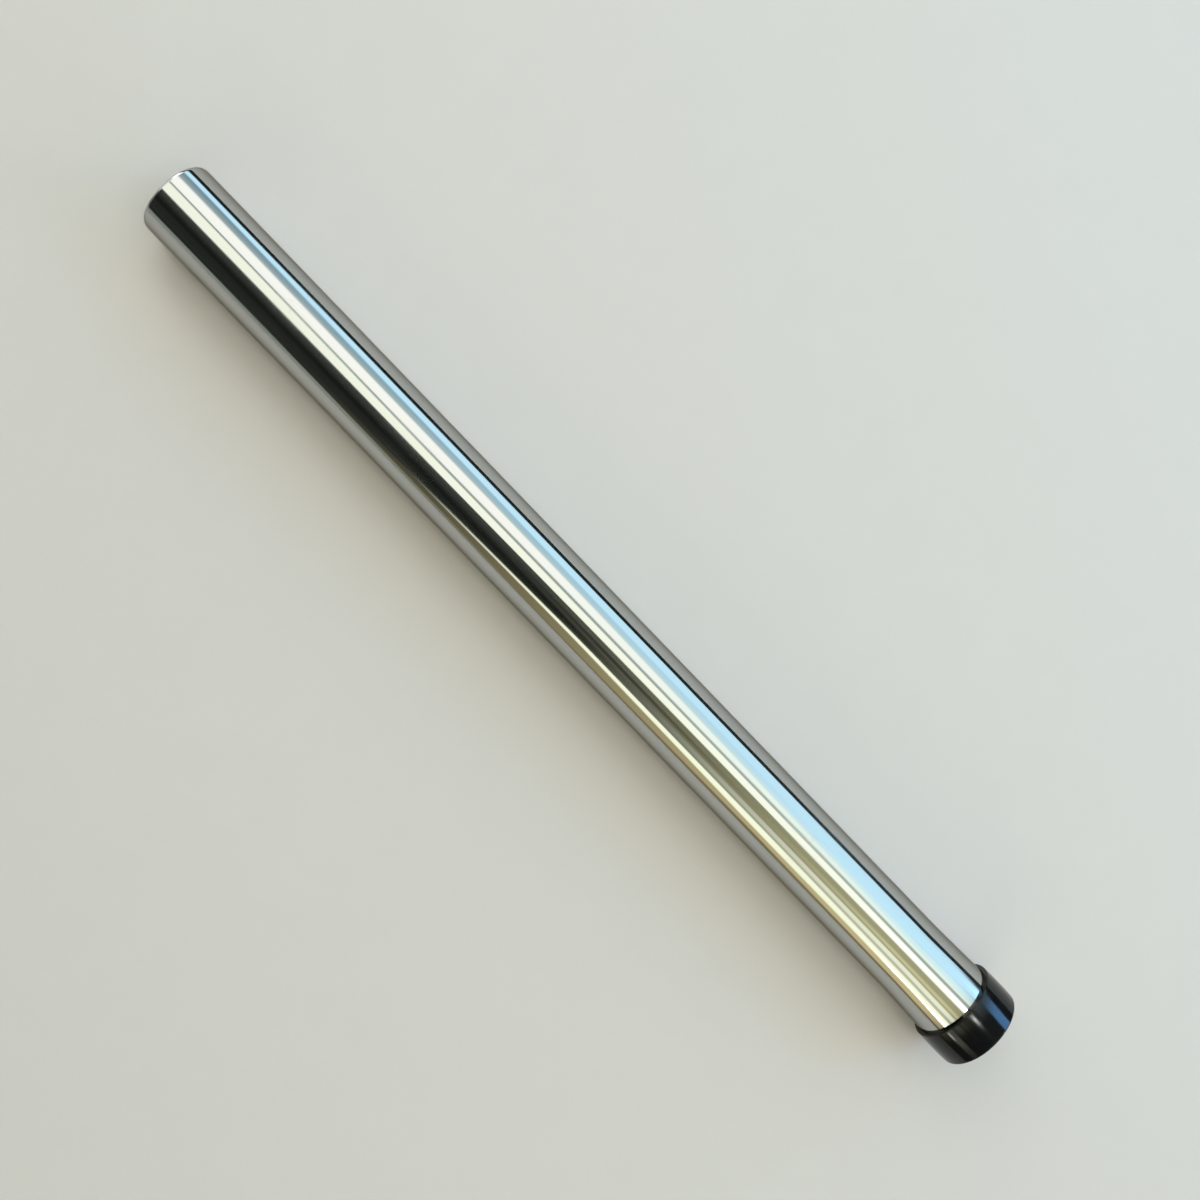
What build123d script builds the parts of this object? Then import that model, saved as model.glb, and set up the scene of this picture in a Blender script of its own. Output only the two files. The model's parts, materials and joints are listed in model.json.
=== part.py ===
from build123d import *
import math
import os

# Vacuum extension tube: a chrome-plated steel tube with a plain tip at one end,
# and at the other a belled socket inside a moulded plastic collar.
# All sizes are in millimetres.

# Steel tube
tube_length = 490.5        # cut length, from the tip to the end inside the collar
tube_diameter = 35.0       # outside, along the straight run
wall = 0.7                 # sheet thickness

# Tip, curled inwards a little so that it finds the next socket
tip_curl_length = 1.5      # along the tube
tip_curl_drop = 0.4        # how far the edge turns in
tip_deburr = 0.2           # round on both corners of the cut edge

# Belled end, which takes the tip of the next tube
socket_slip = 0.05         # radial play between a tip and a socket
bell_cone_length = 26.0    # from the straight run to the full socket size
bell_start_bend = 8.0      # half the length of the bend where the cone starts
bell_end_bend = 1.5        # half the length of the bend where the socket starts

# Collar, pushed over the bell until its lip stops on the end of the steel
collar_length = 17.4
collar_wall = 1.9          # radial, at the widest part of its barrel
collar_barrel = 0.2        # how far the outside bulges from its ends to its middle
collar_glue_gap = 0.05     # radial, between the bell and the collar
collar_lip = 2.2           # thickness of the lip that covers the cut end of the steel
lip_relief = 0.3           # radial, how far the lip stands back from the socket bore
lip_lead_in = 0.95         # round at the mouth, where the next tube comes in
collar_mouth_round = 0.8   # outer edge at the mouth
collar_top_round = 0.5     # outer edge at the end that faces the tip

# A round takes no more than this share of the wall that it is on
most_of_wall = 0.45

# Radii that follow from the sizes above
tube_radius = tube_diameter / 2
socket_radius = tube_radius + socket_slip
bell_radius = socket_radius + wall
collar_bore_radius = bell_radius + collar_glue_gap
collar_radius = collar_bore_radius + collar_wall
collar_end_radius = collar_radius - collar_barrel
lip_bore_radius = socket_radius + lip_relief

# Places along the tube, measured from the tip
mouth = tube_length + collar_lip
collar_top = mouth - collar_length
collar_middle = (collar_top + mouth) / 2
bell_start = collar_top - bell_cone_length


def round_corners(section, rounds):
    """The section with a round on the corner at each place, limited by the wall there."""
    for place, size, width in rounds:
        corner = section.vertices().sort_by_distance(place)[0]
        section = fillet(corner, min(size, most_of_wall * width))
    return section


def wall_line(inset):
    """The tube's line from its curled tip to the end inside the collar, this far inside its outer face."""
    curl_radius = (tip_curl_length**2 + tip_curl_drop**2) / (2 * tip_curl_drop)
    curl_angle = math.degrees(math.asin(tip_curl_length / curl_radius))
    cone_angle = math.atan2(bell_radius - tube_radius, bell_cone_length)
    bends = [bend / math.tan(cone_angle / 2) for bend in (bell_start_bend, bell_end_bend)]
    run_start = (tip_curl_length, tube_radius - inset)
    curl = JernArc(run_start, (-1, 0), curl_radius - inset, curl_angle)
    run = FilletPolyline(
        run_start,
        (bell_start, tube_radius - inset),
        (collar_top, bell_radius - inset),
        (tube_length, bell_radius - inset),
        radius=bends,
    )
    return curl, run


def make_tube():
    """The steel tube: one wall, turned about the X axis."""
    outer_curl, outer_run = wall_line(0)
    inner_curl, inner_run = wall_line(wall)
    tip_edge = Line(outer_curl @ 1, inner_curl @ 1)
    cut_end = Line(outer_run @ 1, inner_run @ 1)
    section = make_face([outer_curl, outer_run, cut_end, inner_run, inner_curl, tip_edge])
    tip_corners = [(tip_edge @ 0, tip_deburr, wall), (tip_edge @ 1, tip_deburr, wall)]
    return revolve(round_corners(section, tip_corners), Axis.X)


def make_collar():
    """The plastic collar: one barrel-shaped ring with a lip at its mouth, turned about the X axis."""
    barrel = ThreePointArc(
        (collar_top, collar_end_radius),
        (collar_middle, collar_radius),
        (mouth, collar_end_radius),
    )
    bore = Polyline(
        (mouth, collar_end_radius),
        (mouth, lip_bore_radius),
        (tube_length, lip_bore_radius),
        (tube_length, collar_bore_radius),
        (collar_top, collar_bore_radius),
        (collar_top, collar_end_radius),
    )
    mouth_width = collar_end_radius - lip_bore_radius
    top_width = collar_end_radius - collar_bore_radius
    rounds = [
        ((mouth, collar_end_radius), collar_mouth_round, mouth_width),
        ((mouth, lip_bore_radius), lip_lead_in, min(mouth_width, collar_lip)),
        ((collar_top, collar_end_radius), collar_top_round, top_width),
    ]
    section = round_corners(make_face([barrel, bore]), rounds)
    return revolve(section, Axis.X)


def rest_place(solids):
    """Where the part lies on its tip and its collar, with the origin on the floor below its middle."""
    contact_span = collar_middle - tip_curl_length
    rest_tilt = math.degrees(math.asin((collar_radius - tube_radius) / contact_span))
    tilt = Rot(0, -rest_tilt, 0)
    box = Compound([tilt * solid for solid in solids]).bounding_box()
    return Pos(-box.center().X, 0, -box.min.Z) * tilt


pieces = {"tube": make_tube(), "collar": make_collar()}
rest = rest_place(pieces.values())

os.makedirs("parts", exist_ok=True)
for name, solid in pieces.items():
    export_step(rest * solid, f"parts/{name}.step")
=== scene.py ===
import bmesh
import bpy
import json
import math
from mathutils import Matrix, Vector


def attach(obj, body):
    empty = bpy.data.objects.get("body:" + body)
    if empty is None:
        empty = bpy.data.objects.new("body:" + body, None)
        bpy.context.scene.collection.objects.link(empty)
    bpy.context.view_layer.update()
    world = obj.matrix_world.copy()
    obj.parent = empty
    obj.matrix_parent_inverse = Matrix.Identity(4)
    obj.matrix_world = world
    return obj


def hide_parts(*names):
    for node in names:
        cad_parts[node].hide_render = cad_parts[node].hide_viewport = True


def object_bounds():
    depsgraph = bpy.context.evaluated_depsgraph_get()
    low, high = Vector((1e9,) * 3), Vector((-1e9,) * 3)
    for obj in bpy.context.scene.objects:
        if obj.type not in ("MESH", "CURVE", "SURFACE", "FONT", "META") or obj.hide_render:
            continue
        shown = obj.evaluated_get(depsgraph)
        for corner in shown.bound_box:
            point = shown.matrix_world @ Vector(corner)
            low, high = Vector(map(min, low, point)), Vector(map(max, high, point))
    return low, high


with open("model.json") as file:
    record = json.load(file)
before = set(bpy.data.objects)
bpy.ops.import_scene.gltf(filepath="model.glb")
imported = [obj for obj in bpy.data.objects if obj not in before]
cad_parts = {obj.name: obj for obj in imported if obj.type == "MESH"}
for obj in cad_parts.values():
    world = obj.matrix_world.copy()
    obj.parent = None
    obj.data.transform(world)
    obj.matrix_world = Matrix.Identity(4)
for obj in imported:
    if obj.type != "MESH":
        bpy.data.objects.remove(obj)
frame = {"record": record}
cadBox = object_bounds()
scene = bpy.context.scene
scene.view_settings.view_transform = "Standard"
mm = 0.001

# where the tube lies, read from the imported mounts
mounts = {mount["name"]: mount for mount in frame["record"]["mounts"]}
spigot = mounts["spigot"]
socket = mounts["socket"]
tubeAxis = Vector(socket["axis"]).normalized()
tubeRadius = spigot["dims"]["r_mm"] * mm
socketRadius = socket["dims"]["r_mm"] * mm
runLength = spigot["dims"]["length_mm"] * mm
socketLength = socket["dims"]["length_mm"] * mm
restTilt = math.asin(tubeAxis.z)

tubeSpec = {
    "wall": 0.7 * mm,
    "curlLength": 1.5 * mm,      # the tip's edge turns in over this length
    "curlDrop": 0.4 * mm,
    "curlSteps": 6,
    "deburr": 0.2 * mm,
    "coneBend": 8.0 * mm,        # half of the soft bend where the bell starts
    "socketBend": 1.5 * mm,      # half of the bend where the socket starts
    "outerStep": 4.0 * mm,       # longest edge along the outside
    "innerStep": 9.0 * mm,
    "stepsAround": 192,
}
collarSpec = {
    "wall": 1.9 * mm,            # at the widest part of the barrel
    "barrel": 0.2 * mm,          # bulge of the outside
    "glueGap": 0.05 * mm,
    "lip": 2.2 * mm,
    "lipRelief": 0.3 * mm,
    "leadIn": 0.95 * mm,
    "mouthRound": 0.8 * mm,
    "topRound": 0.5 * mm,
    "barrelSteps": 14,
    "endMargin": 1.2,            # barrel's plain ends, in sizes of the larger round
    "boreStep": 4.0 * mm,
    "stepsAround": 192,
}
roundSteps = 6                   # edges in each rounded corner

# places along the tube, from the tip
tipPoint = Vector(spigot["pos_m"]) - tubeAxis * (runLength / 2 + tubeSpec["curlLength"])
socketMiddle = (Vector(socket["pos_m"]) - tipPoint).dot(tubeAxis)
tubeEnd = socketMiddle + socketLength / 2
collarTop = socketMiddle - socketLength / 2 - tubeSpec["socketBend"]
bellStart = tubeSpec["curlLength"] + runLength + tubeSpec["coneBend"]
mouth = tubeEnd + collarSpec["lip"]
bellRadius = socketRadius + tubeSpec["wall"]
print("frame read, tube is", round(tubeEnd / mm, 1), "mm long")


# node helpers

def addNode(tree, kind, inputs=None, **settings):
    made = tree.nodes.new(kind)
    for name, value in settings.items():
        setattr(made, name, value)
    for key, value in (inputs or {}).items():
        if isinstance(value, bpy.types.NodeSocket):
            tree.links.new(value, made.inputs[key])
        else:
            made.inputs[key].default_value = value
    return made


def maths(tree, operation, first, second=0.0):
    return addNode(tree, "ShaderNodeMath", {0: first, 1: second}, operation=operation).outputs[0]


def ramp(tree, value, fromMin, fromMax, toMin=0.0, toMax=1.0):
    sockets = {"Value": value, "From Min": fromMin, "From Max": fromMax, "To Min": toMin, "To Max": toMax}
    return addNode(tree, "ShaderNodeMapRange", sockets, interpolation_type="SMOOTHSTEP").outputs[0]


def mixColour(tree, factor, first, second):
    sockets = {0: factor, 6: first, 7: second}
    return addNode(tree, "ShaderNodeMix", sockets, data_type="RGBA").outputs[2]


def stretched(tree, vector, along, across):
    sockets = {0: vector, 1: (along, across, across)}
    return addNode(tree, "ShaderNodeVectorMath", sockets, operation="MULTIPLY").outputs[0]


def noise(tree, vector, detail=2.0, roughness=0.5):
    sockets = {"Vector": vector, "Scale": 1.0, "Detail": detail, "Roughness": roughness}
    return addNode(tree, "ShaderNodeTexNoise", sockets).outputs[0]


def newMaterial(name):
    material = bpy.data.materials.new(name)
    material.use_nodes = True
    material.node_tree.nodes.clear()
    return material, material.node_tree


def newGroup(name, inputs, outputs):
    group = bpy.data.node_groups.new(name, "ShaderNodeTree")
    for title, kind in inputs.items():
        group.interface.new_socket(name=title, in_out="INPUT", socket_type=kind)
    for title, kind in outputs.items():
        group.interface.new_socket(name=title, in_out="OUTPUT", socket_type=kind)
    return group, addNode(group, "NodeGroupInput"), addNode(group, "NodeGroupOutput")


def useGroup(tree, group, inputs):
    placed = tree.nodes.new("ShaderNodeGroup")
    placed.node_tree = group
    for key, value in inputs.items():
        if isinstance(value, bpy.types.NodeSocket):
            tree.links.new(value, placed.inputs[key])
        else:
            placed.inputs[key].default_value = value
    return placed.outputs


# marks of use that the plating and the plastic share

marksSpec = {
    "smudge": (0.45, 0.75),      # noise from clean to smudged
    "smudgeDetail": 3.0,
    "lineStretch": 0.06,
    "lineWidth": 0.012,
    "lineDetail": 1.0,
    "lineLevel": 0.5,            # noise level that a hairline follows
}


def makeHandlingMarks():
    group, given, shown = newGroup(
        "handlingMarks",
        {"Point": "NodeSocketVector", "Smudge Size": "NodeSocketFloat", "Hairline Gap": "NodeSocketFloat"},
        {"Smudge": "NodeSocketFloat", "Hairline": "NodeSocketFloat"},
    )
    point = given.outputs["Point"]
    perSmudge = maths(group, "DIVIDE", 1.0, given.outputs["Smudge Size"])
    smudgeScale = addNode(group, "ShaderNodeVectorMath", {0: point, "Scale": perSmudge}, operation="SCALE")
    clouds = noise(group, smudgeScale.outputs[0], marksSpec["smudgeDetail"])
    smudge = ramp(group, clouds, *marksSpec["smudge"])
    perGap = maths(group, "DIVIDE", 1.0, given.outputs["Hairline Gap"])
    drawnOut = stretched(group, point, marksSpec["lineStretch"], 1.0)
    lineScale = addNode(group, "ShaderNodeVectorMath", {0: drawnOut, "Scale": perGap}, operation="SCALE")
    waves = noise(group, lineScale.outputs[0], marksSpec["lineDetail"])
    fromLevel = maths(group, "SUBTRACT", waves, marksSpec["lineLevel"])
    line = ramp(group, maths(group, "ABSOLUTE", fromLevel), marksSpec["lineWidth"], 0.0)
    hairline = maths(group, "MULTIPLY", line, smudge)
    group.links.new(smudge, shown.inputs["Smudge"])
    group.links.new(hairline, shown.inputs["Hairline"])
    return group


# slow unevenness of a drawn or moulded surface, as a height

def makeSurfaceRipple():
    group, given, shown = newGroup(
        "surfaceRipple",
        {
            "Point": "NodeSocketVector",
            "Per Metre Along": "NodeSocketFloat",
            "Per Metre Across": "NodeSocketFloat",
        },
        {"Height": "NodeSocketFloat"},
    )
    along = given.outputs["Per Metre Along"]
    across = given.outputs["Per Metre Across"]
    scale = addNode(group, "ShaderNodeCombineXYZ", {0: along, 1: across, 2: across})
    sockets = {0: given.outputs["Point"], 1: scale.outputs[0]}
    placed = addNode(group, "ShaderNodeVectorMath", sockets, operation="MULTIPLY")
    group.links.new(noise(group, placed.outputs[0]), shown.inputs["Height"])
    return group


handlingMarks = makeHandlingMarks()
surfaceRipple = makeSurfaceRipple()


# point on the piece in the tube's own axes: X from the tip, Y and Z from the axis

def tubePoint(tree):
    place = addNode(tree, "ShaderNodeTexCoord").outputs["Object"]
    sockets = {"Vector": place, "Location": tipPoint, "Rotation": (0.0, -restTilt, 0.0)}
    return addNode(tree, "ShaderNodeMapping", sockets, vector_type="TEXTURE").outputs[0]


chromeSpec = {
    "plate": (0.50, 0.503, 0.498, 1.0),
    "edgeTint": (0.42, 0.405, 0.37, 1.0),
    "hairline": (0.38, 0.38, 0.37, 1.0),
    "roughness": (0.05, 0.13),
    "smudgeRoughness": 0.05,     # added under a smudge
    "smudgeSize": 45.0 * mm,
    "hairlineGap": 4.0 * mm,
    "hairlineShare": 0.25,
    "streaksAlong": 3.0,         # drawn polish lines, per metre along and across
    "streaksAcross": 900.0,
    "streakNoise": (3.0, 0.6),   # detail and roughness
    "streakRange": (0.3, 0.8),   # noise from polished to dull
    "streakHeight": 0.6e-6,
    "ripplesAlong": 9.0,         # per metre
    "ripplesAcross": 70.0,
    "rippleHeight": 9.0e-6,
}


def makeChrome():
    material, tree = newMaterial("chromePlate")
    point = tubePoint(tree)
    marks = useGroup(tree, handlingMarks, {
        "Point": point,
        "Smudge Size": chromeSpec["smudgeSize"],
        "Hairline Gap": chromeSpec["hairlineGap"],
    })
    drawnLines = stretched(tree, point, chromeSpec["streaksAlong"], chromeSpec["streaksAcross"])
    streaks = noise(tree, drawnLines, *chromeSpec["streakNoise"])
    smudged = maths(tree, "MULTIPLY", marks["Smudge"], chromeSpec["smudgeRoughness"])
    polish = ramp(tree, streaks, *chromeSpec["streakRange"], *chromeSpec["roughness"])
    scuff = maths(tree, "MULTIPLY", marks["Hairline"], chromeSpec["hairlineShare"])
    ripple = useGroup(tree, surfaceRipple, {
        "Point": point,
        "Per Metre Along": chromeSpec["ripplesAlong"],
        "Per Metre Across": chromeSpec["ripplesAcross"],
    })
    drawn = maths(tree, "MULTIPLY", streaks, chromeSpec["streakHeight"])
    wavy = maths(tree, "MULTIPLY", ripple["Height"], chromeSpec["rippleHeight"])
    bump = addNode(tree, "ShaderNodeBump", {"Height": maths(tree, "ADD", drawn, wavy), "Distance": 1.0})
    shader = addNode(tree, "ShaderNodeBsdfPrincipled", {
        "Base Color": mixColour(tree, scuff, chromeSpec["plate"], chromeSpec["hairline"]),
        "Metallic": 1.0,
        "Roughness": maths(tree, "ADD", smudged, polish),
        "Specular Tint": chromeSpec["edgeTint"],
        "Normal": bump.outputs[0],
    })
    addNode(tree, "ShaderNodeOutputMaterial", {"Surface": shader.outputs[0]})
    return material


steelSpec = {
    "bare": (0.50, 0.48, 0.45, 1.0),
    "stain": (0.33, 0.30, 0.26, 1.0),
    "roughness": (0.27, 0.47),
    "metal": (0.75, 0.35),       # clean patches and dull ones
    "mottleAlong": 120.0,        # per metre along and across
    "mottleAcross": 400.0,
    "mottleNoise": (4.0, 0.6),   # detail and roughness
    "metalRange": (0.3, 0.7),    # noise from clean to dull
    "roughRange": (0.2, 0.8),
    "ripplesAlong": 30.0,
    "ripplesAcross": 220.0,
    "rippleHeight": 12.0e-6,
}


def makeSteel():
    material, tree = newMaterial("bareSteel")
    point = tubePoint(tree)
    patches = stretched(tree, point, steelSpec["mottleAlong"], steelSpec["mottleAcross"])
    mottle = noise(tree, patches, *steelSpec["mottleNoise"])
    ripple = useGroup(tree, surfaceRipple, {
        "Point": point,
        "Per Metre Along": steelSpec["ripplesAlong"],
        "Per Metre Across": steelSpec["ripplesAcross"],
    })
    wavy = maths(tree, "MULTIPLY", ripple["Height"], steelSpec["rippleHeight"])
    bump = addNode(tree, "ShaderNodeBump", {"Height": wavy, "Distance": 1.0})
    shader = addNode(tree, "ShaderNodeBsdfPrincipled", {
        "Base Color": mixColour(tree, mottle, steelSpec["bare"], steelSpec["stain"]),
        "Metallic": ramp(tree, mottle, *steelSpec["metalRange"], *steelSpec["metal"]),
        "Roughness": ramp(tree, mottle, *steelSpec["roughRange"], *steelSpec["roughness"]),
        "Normal": bump.outputs[0],
    })
    addNode(tree, "ShaderNodeOutputMaterial", {"Surface": shader.outputs[0]})
    return material


plasticSpec = {
    "black": (0.005, 0.0052, 0.0056, 1.0),
    "scuff": (0.045, 0.045, 0.045, 1.0),
    "roughness": (0.072, 0.108),
    "smudgeRoughness": 0.07,     # added under a smudge
    "smudgeSize": 14.0 * mm,
    "hairlineGap": 2.2 * mm,
    "hairlineShare": 0.5,
    "gloss": 0.3,                # specular level
    "ior": 1.5,
    "ripples": 60.0,             # per metre
    "rippleHeight": 22.0e-6,
    "grains": 2600.0,            # per metre
    "grainNoise": (2.0, 0.6),    # detail and roughness
    "grainRange": (0.2, 0.8),    # noise from smooth to rough
    "grainHeight": 1.2e-6,
}


def makePlastic():
    material, tree = newMaterial("blackPlastic")
    point = tubePoint(tree)
    marks = useGroup(tree, handlingMarks, {
        "Point": point,
        "Smudge Size": plasticSpec["smudgeSize"],
        "Hairline Gap": plasticSpec["hairlineGap"],
    })
    grainPoint = stretched(tree, point, plasticSpec["grains"], plasticSpec["grains"])
    grain = noise(tree, grainPoint, *plasticSpec["grainNoise"])
    smudged = maths(tree, "MULTIPLY", marks["Smudge"], plasticSpec["smudgeRoughness"])
    moulded = ramp(tree, grain, *plasticSpec["grainRange"], *plasticSpec["roughness"])
    scuff = maths(tree, "MULTIPLY", marks["Hairline"], plasticSpec["hairlineShare"])
    ripple = useGroup(tree, surfaceRipple, {
        "Point": point,
        "Per Metre Along": plasticSpec["ripples"],
        "Per Metre Across": plasticSpec["ripples"],
    })
    wavy = maths(tree, "MULTIPLY", ripple["Height"], plasticSpec["rippleHeight"])
    rough = maths(tree, "MULTIPLY", grain, plasticSpec["grainHeight"])
    bump = addNode(tree, "ShaderNodeBump", {"Height": maths(tree, "ADD", wavy, rough), "Distance": 1.0})
    shader = addNode(tree, "ShaderNodeBsdfPrincipled", {
        "Base Color": mixColour(tree, scuff, plasticSpec["black"], plasticSpec["scuff"]),
        "Roughness": maths(tree, "ADD", smudged, moulded),
        "IOR": plasticSpec["ior"],
        "Specular IOR Level": plasticSpec["gloss"],
        "Normal": bump.outputs[0],
    })
    addNode(tree, "ShaderNodeOutputMaterial", {"Surface": shader.outputs[0]})
    return material


chromePlate = makeChrome()
bareSteel = makeSteel()
blackPlastic = makePlastic()
print("materials ready:", chromePlate.name, bareSteel.name, blackPlastic.name)


# sections: an outline is a list of corners (along, radius, reach of its round, longest edge after it)

def roundCorner(before, corner, after, reach):
    toBefore = (before - corner).normalized()
    toAfter = (after - corner).normalized()
    half = toBefore.angle(toAfter) / 2
    centre = corner + (toBefore + toAfter).normalized() * (reach / math.cos(half))
    start = corner + toBefore * reach - centre
    end = corner + toAfter * reach - centre
    return [centre + start.slerp(end, step / roundSteps) * start.length for step in range(roundSteps + 1)]


def outlinePoints(corners):
    places = [Vector(corner[:2]) for corner in corners]
    count = len(corners)
    arcs = []
    for i, corner in enumerate(corners):
        reach = corner[2]
        if reach:
            arcs.append(roundCorner(places[i - 1], places[i], places[(i + 1) % count], reach))
        else:
            arcs.append([places[i]])
    points = []
    for i, arc in enumerate(arcs):
        after = arcs[(i + 1) % count][0]
        longest = corners[i][3]
        parts = max(1, math.ceil((after - arc[-1]).length / longest))
        points += arc + [arc[-1].lerp(after, part / parts) for part in range(1, parts)]
    return points


def tubeOutline():
    spec = tubeSpec
    curlRadius = (spec["curlLength"] ** 2 + spec["curlDrop"] ** 2) / (2 * spec["curlDrop"])
    curlAngle = math.asin(spec["curlLength"] / curlRadius)
    curlCentre = Vector((spec["curlLength"], tubeRadius - curlRadius))

    def wallCorners(inset, longest):
        corners = []
        for step in range(spec["curlSteps"] + 1):
            angle = curlAngle * (1 - step / spec["curlSteps"])
            place = curlCentre + Vector((-math.sin(angle), math.cos(angle))) * (curlRadius - inset)
            corners.append((place.x, place.y, 0.0 if step else spec["deburr"], longest))
        corners.append((bellStart, tubeRadius - inset, spec["coneBend"], longest))
        corners.append((collarTop, bellRadius - inset, spec["socketBend"], longest))
        corners.append((tubeEnd, bellRadius - inset, 0.0, longest))
        return corners

    outer = wallCorners(0.0, spec["outerStep"])
    inner = wallCorners(spec["wall"], spec["innerStep"])
    return outlinePoints(outer + inner[::-1])


def collarOutline():
    spec = collarSpec
    bore = bellRadius + spec["glueGap"]
    widest = bore + spec["wall"]
    lipBore = socketRadius + spec["lipRelief"]
    halfLength = (mouth - collarTop) / 2
    middle = (mouth + collarTop) / 2
    barrelRadius = (halfLength ** 2 + spec["barrel"] ** 2) / (2 * spec["barrel"])
    step = spec["boreStep"]
    corners = [(collarTop, widest - spec["barrel"], spec["topRound"], step)]
    margin = max(spec["topRound"], spec["mouthRound"]) * spec["endMargin"]
    for i in range(spec["barrelSteps"] + 1):
        offset = (halfLength - margin) * (2 * i / spec["barrelSteps"] - 1)
        radius = widest - barrelRadius + math.sqrt(barrelRadius ** 2 - offset ** 2)
        corners.append((middle + offset, radius, 0.0, step))
    corners += [
        (mouth, widest - spec["barrel"], spec["mouthRound"], step),
        (mouth, lipBore, spec["leadIn"], step),
        (tubeEnd, lipBore, 0.0, step),
        (tubeEnd, bore, 0.0, step),
        (collarTop, bore, 0.0, step),
    ]
    return outlinePoints(corners)


# geometry nodes tree that turns a section about the tube's axis and lays it in place

def makeTurning():
    tree = bpy.data.node_groups.new("turnSection", "GeometryNodeTree")
    for title, kind in {
        "Section": "NodeSocketGeometry",
        "Steps Around": "NodeSocketInt",
        "Path Radius": "NodeSocketFloat",
        "Tip Place": "NodeSocketVector",
        "Axis Turn": "NodeSocketRotation",
        "Finish": "NodeSocketMaterial",
    }.items():
        tree.interface.new_socket(name=title, in_out="INPUT", socket_type=kind)
    tree.interface.new_socket(name="Turned", in_out="OUTPUT", socket_type="NodeSocketGeometry")
    given = addNode(tree, "NodeGroupInput").outputs
    section = addNode(tree, "GeometryNodeMeshToCurve", {"Mesh": given["Section"]})
    path = addNode(tree, "GeometryNodeCurvePrimitiveCircle", {
        "Resolution": given["Steps Around"],
        "Radius": given["Path Radius"],
    })
    swept = addNode(tree, "GeometryNodeCurveToMesh", {
        "Curve": path.outputs[0],
        "Profile Curve": section.outputs[0],
    })
    smooth = addNode(tree, "GeometryNodeSetShadeSmooth", {"Geometry": swept.outputs[0]})
    laid = addNode(tree, "GeometryNodeTransform", {
        "Geometry": smooth.outputs[0],
        "Translation": given["Tip Place"],
        "Rotation": given["Axis Turn"],
    })
    real = addNode(tree, "GeometryNodeRealizeInstances", {"Geometry": laid.outputs[0]})
    finish = {"Geometry": real.outputs[0], "Material": given["Finish"]}
    dressed = addNode(tree, "GeometryNodeSetMaterial", finish)
    addNode(tree, "NodeGroupOutput", {"Turned": dressed.outputs[0]})
    return tree


turnSection = makeTurning()
sharpAngle = math.radians(40)
insideCad = 0.9995               # size against the CAD
cadMiddle = (Vector(cadBox[0]) + Vector(cadBox[1])) / 2
insideLean = -0.6                # a face whose normal leans this far back to the axis is inside


def lineInside(shell):
    for face in shell.faces:
        offset = face.calc_center_median() - tipPoint
        outward = (offset - tubeAxis * offset.dot(tubeAxis)).normalized()
        face.material_index = int(face.normal.dot(outward) < insideLean)


def turnPiece(name, outline, stepsAround, material, lining=None):
    pathRadius = sum(point.y for point in outline) / len(outline)
    loop = bpy.data.meshes.new(name + "Section")
    count = len(outline)
    # the sweep reads X outwards and Y against the axis
    loop.from_pydata(
        [(point.y - pathRadius, -point.x, 0.0) for point in outline],
        [(i, (i + 1) % count) for i in range(count)],
        [],
    )
    piece = bpy.data.objects.new(name, loop)
    scene.collection.objects.link(piece)
    turning = piece.modifiers.new("turnSection", "NODES")
    turning.node_group = turnSection
    values = {
        "Steps Around": stepsAround,
        "Path Radius": pathRadius,
        "Tip Place": tipPoint,
        "Axis Turn": (0.0, math.pi / 2 - restTilt, 0.0),
        "Finish": material,
    }
    for item in turnSection.interface.items_tree:
        if item.name in values:
            turning[item.identifier] = values[item.name]
    depsgraph = bpy.context.evaluated_depsgraph_get()
    turned = bpy.data.meshes.new_from_object(piece.evaluated_get(depsgraph), depsgraph=depsgraph)
    piece.modifiers.remove(turning)
    piece.data = turned
    turned.name = name
    # a hair smaller than the CAD, so that no facet stands outside its box
    shrink = Matrix.Translation(cadMiddle) @ Matrix.Scale(insideCad, 4) @ Matrix.Translation(-cadMiddle)
    turned.transform(shrink)
    shell = bmesh.new()
    shell.from_mesh(turned)
    bmesh.ops.recalc_face_normals(shell, faces=shell.faces)
    if lining:
        turned.materials.append(lining)
        lineInside(shell)
    shell.to_mesh(turned)
    shell.free()
    turned.set_sharp_from_angle(angle=sharpAngle)
    print(name, "turned,", len(turned.polygons), "faces")
    return piece


chromeTube = turnPiece("chromeTube", tubeOutline(), tubeSpec["stepsAround"], chromePlate, bareSteel)
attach(chromeTube, "root")
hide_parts("tube")

blackCollar = turnPiece("blackCollar", collarOutline(), collarSpec["stepsAround"], blackPlastic)
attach(blackCollar, "root")
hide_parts("collar")


# studio: a pale floor under an arch of light that runs along the tube

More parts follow.
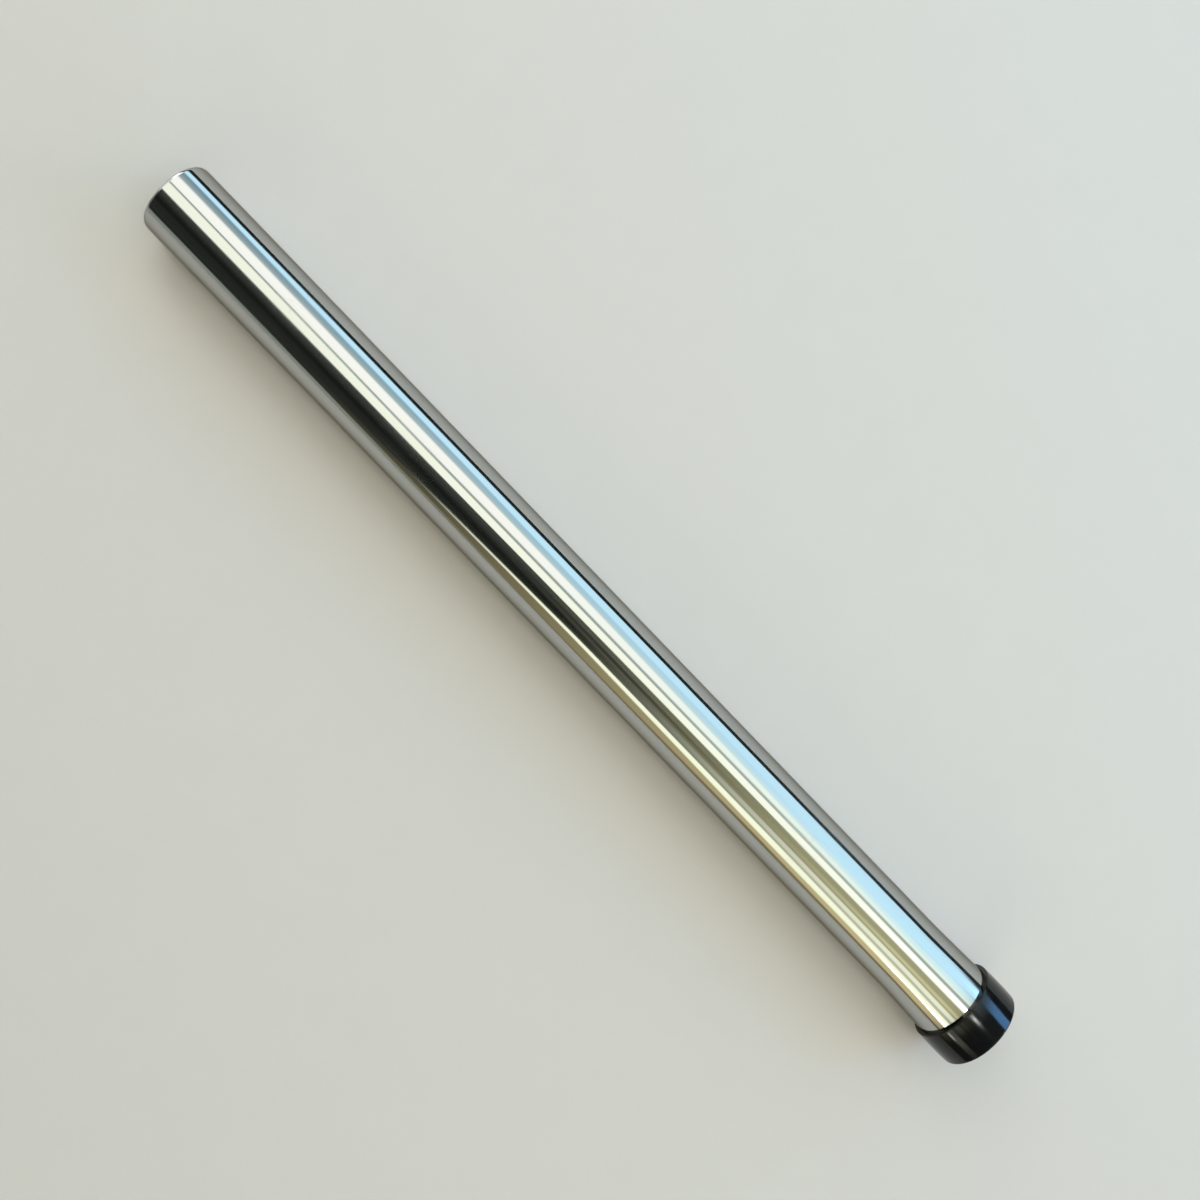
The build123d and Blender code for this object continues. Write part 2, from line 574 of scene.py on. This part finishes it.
floorSpec = {
    "reach": 2.4,                # half length
    "width": 1.2,                # half width
    "tone": (0.665, 0.625, 0.595, 1.0),
    "fleckTone": (0.645, 0.606, 0.577, 1.0),
    "flecks": 40.0,              # per metre
    "fleckNoise": (4.0, 0.6),    # detail and roughness
    "roughness": 0.95,
    "gloss": 0.1,
}
archSpec = {
    "radius": 1.5,
    "lampRadius": 1.455,         # where the small lamps hang
    "reach": 2.6,                # half length
    "foot": 93.0,                # degrees from straight up
    "stations": 104,
    "spokes": 372,
    "tipStation": -0.97,         # where on the arch the tube's two ends are mirrored
    "collarStation": 0.98,
    "tipFill": (0.16, 0.30),     # how far past both stations, in shares, the end light takes over
    "collarFill": (0.13, 0.20),
    "level": 1.1,
}
roomColour = (0.93, 0.93, 0.92, 1.0)
lightColours = {
    "cool": (0.55, 0.84, 1.00),
    "ice": (0.72, 0.96, 1.00),
    "blue": (0.20, 0.50, 1.00),
    "milk": (1.00, 1.01, 0.95),
    "cream": (1.00, 1.04, 0.88),
    "mint": (0.86, 1.00, 0.90),
    "straw": (1.00, 1.03, 0.78),
    "olive": (1.00, 0.96, 0.55),
    "warm": (1.00, 0.85, 0.46),
    "shade": (0.90, 1.00, 0.85),
    "plain": (1.00, 1.00, 1.00),
}

# strips of the arch from its +Y foot to its -Y foot, placed by shares of the way from the tip's station
# to the collar's. ends: where a strip gives way to the next, in degrees from straight up; soft: how wide
# that change is; tip, collar, past: its light at both stations and past the collar; change, gone: over
# which shares its light changes
archStrips = {
    "skirt": {
        "ends": ((0.0, 78.0), (0.94, 78.0), (0.97, 69.0), (1.06, 66.0)), "soft": 2.0,
        "tip": ("shade", 0.02), "collar": ("shade", 0.03), "past": ("shade", 0.03),
        "change": (0.0, 1.0), "gone": (0.95, 1.05),
    },
    "coolDeep": {
        "ends": ((0.0, 65.0), (0.32, 60.0), (0.53, 57.0), (0.94, 51.7), (0.97, 45.0), (1.06, 42.0)),
        "soft": 6.0,
        "tip": ("cool", 1.72), "collar": ("cool", 1.68), "past": ("blue", 8.5),
        "change": (0.0, 1.0), "gone": (0.96, 1.00),
    },
    "coolPale": {
        "ends": ((0.0, 55.0), (0.32, 50.0), (0.53, 45.5), (0.76, 41.0), (1.0, 36.5)), "soft": 6.0,
        "tip": ("cool", 0.55), "collar": ("cool", 1.74), "past": ("shade", 0.10),
        "change": (-0.05, 0.95), "gone": (0.945, 0.985),
    },
    "coolFade": {
        "ends": ((0.0, 43.5), (0.32, 40.0), (0.53, 38.5), (0.76, 31.5), (1.0, 26.5)), "soft": 8.0,
        "tip": ("ice", 0.64), "collar": ("ice", 1.66), "past": ("shade", 0.10),
        "change": (0.0, 1.05), "gone": (0.945, 0.985),
    },
    "creamFar": {
        "ends": ((0.0, 17.5), (0.32, 15.2), (0.53, 18.0), (1.0, 19.8)), "soft": 2.5,
        "tip": ("milk", 1.68), "collar": ("mint", 1.66), "past": ("shade", 0.15),
        "change": (0.4, 0.9), "gone": (0.945, 0.985),
    },
    "thinGap": {
        "ends": ((0.0, 12.8), (0.32, 8.8), (0.53, 10.5), (1.0, 12.2)), "soft": 2.5,
        "tip": ("mint", 0.50), "collar": ("mint", 0.72), "past": ("shade", 0.10),
        "change": (0.0, 1.0), "gone": (0.945, 0.985),
    },
    "creamNear": {
        "ends": ((0.0, -12.6), (0.32, -10.6), (0.53, -6.8), (0.76, -5.2), (1.0, -4.0)), "soft": 2.5,
        "tip": ("cream", 1.58), "collar": ("cream", 1.72), "past": ("shade", 0.15),
        "change": (0.0, 1.0), "gone": (0.945, 0.985),
    },
    "oliveUpper": {
        "ends": ((0.0, -19.5), (1.0, -19.5)), "soft": 3.0,
        "tip": ("shade", 0.075), "collar": ("olive", 0.66), "past": ("shade", 0.06),
        "change": (0.40, 1.0), "gone": (0.945, 0.985),
    },
    "oliveLine": {
        "ends": ((0.0, -27.0), (1.0, -27.5)), "soft": 3.0,
        "tip": ("shade", 0.06), "collar": ("olive", 1.20), "past": ("shade", 0.06),
        "change": (0.55, 1.05), "gone": (0.945, 0.985),
    },
    "oliveLower": {
        "ends": ((0.0, -34.0), (1.0, -32.5)), "soft": 4.0,
        "tip": ("shade", 0.035), "collar": ("olive", 0.70), "past": ("shade", 0.06),
        "change": (0.40, 1.0), "gone": (0.945, 0.985),
    },
    "upperStripe": {
        "ends": ((0.0, -46.0), (1.0, -43.5)), "soft": 4.0,
        "tip": ("shade", 0.018), "collar": ("straw", 1.52), "past": ("shade", 0.06),
        "change": (0.50, 0.95), "gone": (0.945, 0.985),
    },
    "stripeGap": {
        "ends": (
            (0.30, -66.5), (0.36, -63.7), (0.40, -60.4), (0.44, -57.4),
            (0.53, -51.0), (0.76, -50.6), (1.0, -52.5),
        ),
        "soft": 3.0,
        "tip": ("shade", 0.03), "collar": ("straw", 0.86), "past": ("shade", 0.06),
        "change": (0.45, 0.95), "gone": (0.945, 0.985),
    },
    "brightStreak": {
        "ends": (
            (0.30, -68.5), (0.36, -66.8), (0.40, -64.5), (0.44, -62.8),
            (0.53, -60.5), (0.76, -67.3), (1.0, -67.0),
        ),
        "soft": 4.0,
        "tip": ("shade", 0.05), "collar": ("straw", 1.70), "past": ("straw", 0.40),
        "change": (0.31, 0.42), "gone": (0.98, 1.10),
    },
    "lowStripe": {
        "ends": ((0.0, -81.0), (0.22, -80.5), (0.36, -83.0), (0.53, -86.0), (0.76, -80.0), (1.0, -84.5)),
        "soft": 4.0,
        "tip": ("shade", 0.03), "collar": ("warm", 0.95), "past": ("shade", 0.06),
        "change": (0.15, 1.0), "gone": (0.945, 0.985),
    },
    "baseCard": {
        "ends": ((0.0, -93.0), (1.0, -93.0)), "soft": 1.0,
        "tip": ("shade", 0.40), "collar": ("warm", 0.30), "past": ("shade", 0.06),
        "change": (0.1, 0.6), "gone": (0.945, 0.985),
    },
}

# past both stations the arch is plain, with a softbox on its +Y side
endStrips = {
    "skirt": {"end": 70.0, "soft": 4.0, "light": ("plain", 0.10)},
    "softbox": {"end": 34.0, "soft": 8.0, "light": ("plain", 3.0)},
    "roof": {"end": -24.0, "soft": 20.0, "light": ("plain", 1.00)},
    "dimSide": {"end": -93.0, "soft": 1.0, "light": ("plain", 0.25)},
}


def stagePiece(name, points, faces, material):
    mesh = bpy.data.meshes.new(name)
    mesh.from_pydata(points, [], faces)
    mesh.materials.append(material)
    placed = bpy.data.objects.new(name, mesh)
    scene.collection.objects.link(placed)
    return placed


def makeFloor():
    material, tree = newMaterial("paleFloor")
    place = addNode(tree, "ShaderNodeTexCoord").outputs["Object"]
    fleckPoint = stretched(tree, place, floorSpec["flecks"], floorSpec["flecks"])
    flecks = noise(tree, fleckPoint, *floorSpec["fleckNoise"])
    shader = addNode(tree, "ShaderNodeBsdfPrincipled", {
        "Base Color": mixColour(tree, flecks, floorSpec["fleckTone"], floorSpec["tone"]),
        "Roughness": floorSpec["roughness"],
        "Specular IOR Level": floorSpec["gloss"],
    })
    addNode(tree, "ShaderNodeOutputMaterial", {"Surface": shader.outputs[0]})
    reach = floorSpec["reach"]
    width = floorSpec["width"]
    corners = [(-reach, -width, 0), (reach, -width, 0), (reach, width, 0), (-reach, width, 0)]
    stagePiece("floor", corners, [(0, 1, 2, 3)], material)


def addGlow(tree, colour, level):
    glow = addNode(tree, "ShaderNodeEmission", {"Color": colour, "Strength": level})
    addNode(tree, "ShaderNodeOutputMaterial", {"Surface": glow.outputs[0]})


def archPoint(along, degrees, radius):
    angle = math.radians(degrees)
    return along, radius * math.sin(angle), radius * math.cos(angle)


def smooth(value, ends):
    part = min(1.0, max(0.0, (value - ends[0]) / (ends[1] - ends[0])))
    return part * part * (3 - 2 * part)


def lineAt(share, corners):
    for (startShare, start), (endShare, end) in zip(corners, corners[1:]):
        if share < endShare:
            return start + (end - start) * max(0.0, (share - startShare) / (endShare - startShare))
    return corners[-1][1]


def lightOf(named):
    colour, level = named
    return Vector(lightColours[colour]) * level


def stationStrips(share):
    strips = []
    for strip in archStrips.values():
        own = lightOf(strip["tip"]).lerp(lightOf(strip["collar"]), smooth(share, strip["change"]))
        own = own.lerp(lightOf(strip["past"]), smooth(share, strip["gone"]))
        strips.append((own, lineAt(share, strip["ends"]), strip["soft"]))
    return strips


def acrossStrips(strips, angle):
    light = strips[0][0]
    for strip, following in zip(strips, strips[1:]):
        end, soft = strip[1:]
        light = following[0].lerp(light, smooth(angle, (end - soft / 2, end + soft / 2)))
    return light


def makeArch():
    spec = archSpec
    atEnds = [(lightOf(strip["light"]), strip["end"], strip["soft"]) for strip in endStrips.values()]
    points = []
    lights = []
    for station in range(spec["stations"] + 1):
        along = spec["reach"] * (2 * station / spec["stations"] - 1)
        share = (along - spec["tipStation"]) / (spec["collarStation"] - spec["tipStation"])
        mirrored = stationStrips(share)
        past = max(smooth(-share, spec["tipFill"]), smooth(share - 1, spec["collarFill"]))
        for spoke in range(spec["spokes"] + 1):
            degrees = spec["foot"] * (1 - 2 * spoke / spec["spokes"])
            points.append(archPoint(along, degrees, spec["radius"]))
            light = acrossStrips(mirrored, degrees).lerp(acrossStrips(atEnds, degrees), past)
            lights += [*light, 1.0]
    row = spec["spokes"] + 1
    faces = []
    for station in range(spec["stations"]):
        for corner in range(station * row, station * row + spec["spokes"]):
            faces.append((corner, corner + 1, corner + row + 1, corner + row))
    material, tree = newMaterial("archLight")
    material.cycles.emission_sampling = "NONE"
    painted = addNode(tree, "ShaderNodeAttribute", attribute_name="Light")
    addGlow(tree, painted.outputs["Color"], spec["level"])
    arch = stagePiece("lightArch", points, faces, material)
    arch.data.color_attributes.new("Light", "FLOAT_COLOR", "POINT").data.foreach_set("color", lights)
    arch.visible_camera = False


# small lamps in front of the arch, mirrored where the collar's top edge bulges
glintLamps = {
    "upperGlint": {"angle": 4.6, "along": 0.88, "halfAlong": 0.035, "halfAround": 3.6, "level": 28.0},
    "lowerGlint": {"angle": -65.5, "along": 0.885, "halfAlong": 0.04, "halfAround": 2.4, "level": 11.0},
}
glintColour = (1.0, 1.0, 0.96, 1.0)


def makeGlint(name, lamp):
    points = []
    for along in (lamp["along"] - lamp["halfAlong"], lamp["along"] + lamp["halfAlong"]):
        for degrees in (lamp["angle"] - lamp["halfAround"], lamp["angle"] + lamp["halfAround"]):
            points.append(archPoint(along, degrees, archSpec["lampRadius"]))
    material, tree = newMaterial(name)
    addGlow(tree, glintColour, lamp["level"])
    glint = stagePiece(name, points, [(0, 1, 3, 2)], material)
    glint.visible_camera = False


makeFloor()
makeArch()
for lampName, lampValues in glintLamps.items():
    makeGlint(lampName, lampValues)

world = bpy.data.worlds.new("paleRoom")
world.use_nodes = True
world.node_tree.nodes["Background"].inputs["Color"].default_value = roomColour
scene.world = world
print("studio ready,", len(archStrips), "strips of light")


# camera: the tip's and the seam's centres as the photo's camera saw them, right, down and forward in metres

cameraSpec = {
    "lens": 33.98,               # millimetres
    "sensor": 36.0,
    "nearest": 10.0 * mm,        # start of what it sees
    "tipSeen": (-0.178467, -0.169172, 0.477434),
    "seamSeen": (0.151356, 0.172501, 0.490004),
    "lean": 5.0,                 # degrees from straight above the tube, towards -Y
}


def squareOn(along, towards):
    across = towards - along * along.dot(towards)
    across.normalize()
    return Matrix((along, across, along.cross(across))).transposed()


def makeCamera():
    data = bpy.data.cameras.new("photoCamera")
    data.lens = cameraSpec["lens"]
    data.sensor_width = cameraSpec["sensor"]
    data.clip_start = cameraSpec["nearest"]
    camera = bpy.data.objects.new("photoCamera", data)
    scene.collection.objects.link(camera)
    # Blender's camera looks along -Z with Y up
    flip = Vector((1.0, -1.0, -1.0))
    tipSeen = Vector(cameraSpec["tipSeen"]) * flip
    seamSeen = Vector(cameraSpec["seamSeen"]) * flip
    seen = squareOn((seamSeen - tipSeen).normalized(), Vector((0.0, 0.0, 1.0)))
    lean = math.radians(cameraSpec["lean"])
    real = squareOn(tubeAxis, Vector((0.0, -math.sin(lean), math.cos(lean))))
    turn = real @ seen.transposed()
    camera.matrix_world = Matrix.Translation(tipPoint - turn @ tipSeen) @ turn.to_4x4()
    scene.camera = camera
    print("camera at", [round(part, 3) for part in camera.matrix_world.translation])


makeCamera()
